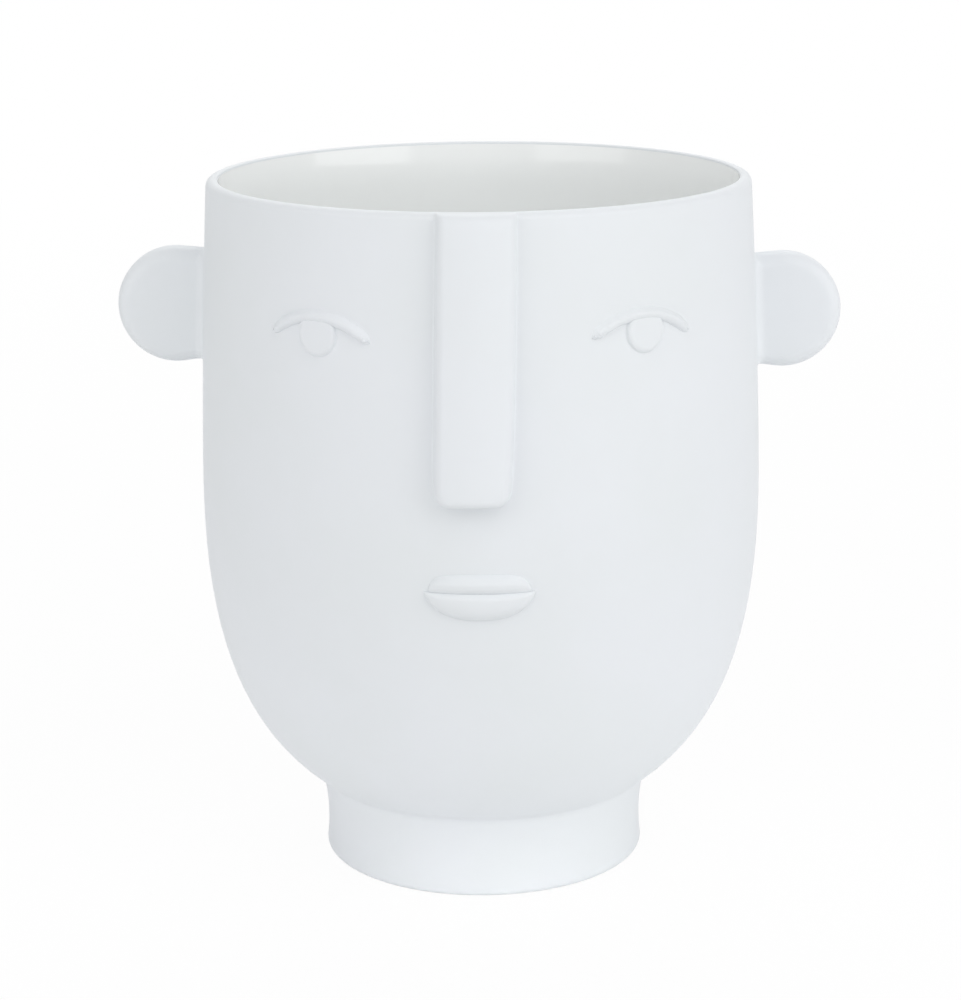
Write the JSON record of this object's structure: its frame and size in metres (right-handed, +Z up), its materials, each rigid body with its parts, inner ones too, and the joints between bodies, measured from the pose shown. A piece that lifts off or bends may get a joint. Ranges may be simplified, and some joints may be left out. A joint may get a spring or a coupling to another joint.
{
  "type": "face vase",
  "caption": "Pedestal vase in matt white ceramic with a modelled face: disc ears, bar nose, full lips and lidded eyes, shiny glaze inside. Holds flowers or a small potted plant.",
  "frame": {"origin": "centre of the foot's resting plane", "axes": "+Z up along the vase's axis, -Y the way the face looks, +X towards the viewer's right ear"},
  "size_m": [0.1754, 0.1431, 0.17],
  "materials": {
    "matt_ceramic": "matt, fine grained, white",
    "shiny_glaze": "shiny clear glaze over white, faintly green grey"
  },
  "bodies": {
    "root": {"vase_body": "matt_ceramic", "pedestal_foot": "matt_ceramic", "inner_glaze": "shiny_glaze", "left_ear": "matt_ceramic", "right_ear": "matt_ceramic", "nose": "matt_ceramic", "upper_lip": "matt_ceramic", "lower_lip": "matt_ceramic", "left_eyelid": "matt_ceramic", "right_eyelid": "matt_ceramic", "left_iris": "matt_ceramic", "right_iris": "matt_ceramic"}
  },
  "joints": []
}
